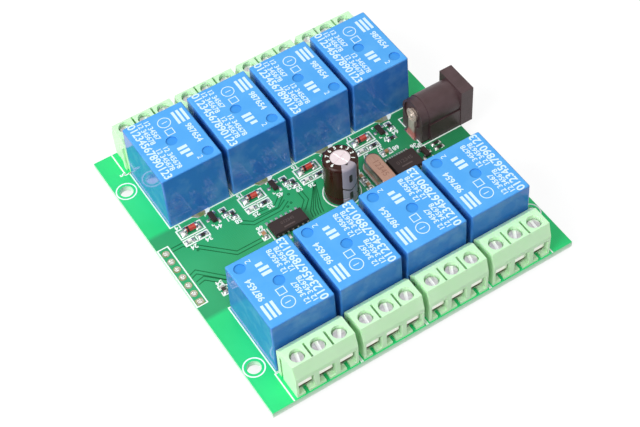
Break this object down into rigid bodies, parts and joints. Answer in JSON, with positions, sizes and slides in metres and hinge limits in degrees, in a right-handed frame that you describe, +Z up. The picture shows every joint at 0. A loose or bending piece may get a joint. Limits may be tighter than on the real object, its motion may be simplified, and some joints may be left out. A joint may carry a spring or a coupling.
{
  "type": "relay module board",
  "caption": "Relay module board: two rows of sealed relays on a green circuit board, screw terminals on the front and back edges, driver chips between and a power jack at the side.",
  "frame": {"origin": "middle of the four mounting holes, on the underside of the bare board", "axes": "+Z up out of the relays' side of the board, +X towards the power jack's edge, -Y towards the front terminals"},
  "size_m": [0.0796, 0.0802, 0.0184],
  "materials": {
    "board_green": "solder mask over glass-epoxy laminate",
    "relay_blue": "smooth moulded plastic, light edge wear",
    "relay_potting": "moulded base",
    "terminal_green": "moulded nylon, satin",
    "nickel_plate": "nickel-plated steel",
    "tinned_metal": "tinned copper alloy",
    "jack_black": "moulded plastic, satin",
    "aged_brass": "tinned brass strip",
    "can_aluminium": "bare drawn aluminium",
    "sleeve_brown": "shrunk sleeve, printed stripe",
    "bung_rubber": "rubber bung",
    "crystal_can": "drawn steel can",
    "chip_black": "moulded epoxy",
    "diode_glass": "reddish glass",
    "resistor_black": "coated ceramic",
    "ceramic_tan": "ceramic",
    "lamp_white": "clear-white epoxy",
    "solder": "solder, bright"
  },
  "bodies": {
    "root": {"circuit_board": "board_green", "relay_case_1": "relay_blue", "relay_case_2": "relay_blue", "relay_case_3": "relay_blue", "relay_case_4": "relay_blue", "relay_case_5": "relay_blue", "relay_case_6": "relay_blue", "relay_case_7": "relay_blue", "relay_case_8": "relay_blue", "relay_bases": "relay_potting", "relay_legs": "tinned_metal", "terminal_housing_1": "terminal_green", "terminal_housing_2": "terminal_green", "terminal_housing_3": "terminal_green", "terminal_housing_4": "terminal_green", "terminal_housing_5": "terminal_green", "terminal_housing_6": "terminal_green", "terminal_housing_7": "terminal_green", "terminal_housing_8": "terminal_green", "terminal_screws": "nickel_plate", "terminal_wire_guards": "tinned_metal", "terminal_contacts": "tinned_metal", "jack_body": "jack_black", "jack_centre_pin": "tinned_metal", "jack_rear_contact": "aged_brass", "jack_sleeve_spring": "tinned_metal", "jack_switch_contact": "tinned_metal", "capacitor_can": "can_aluminium", "capacitor_sleeve": "sleeve_brown", "capacitor_bung": "bung_rubber", "capacitor_leads": "tinned_metal", "crystal_can": "crystal_can", "crystal_base": "crystal_can", "crystal_leads": "tinned_metal", "logic_chip_body": "chip_black", "logic_chip_leads": "tinned_metal", "controller_body": "chip_black", "controller_leads": "tinned_metal", "diode_glass": "diode_glass", "diode_caps": "tinned_metal", "transistor_bodies": "chip_black", "transistor_leads": "tinned_metal", "regulator_body": "chip_black", "regulator_leads": "tinned_metal", "resistor_bodies": "resistor_black", "resistor_ends": "tinned_metal", "ceramic_bodies": "ceramic_tan", "ceramic_ends": "tinned_metal", "lamp_bodies": "lamp_white", "lamp_ends": "tinned_metal", "solder_joints": "solder"}
  },
  "joints": []
}
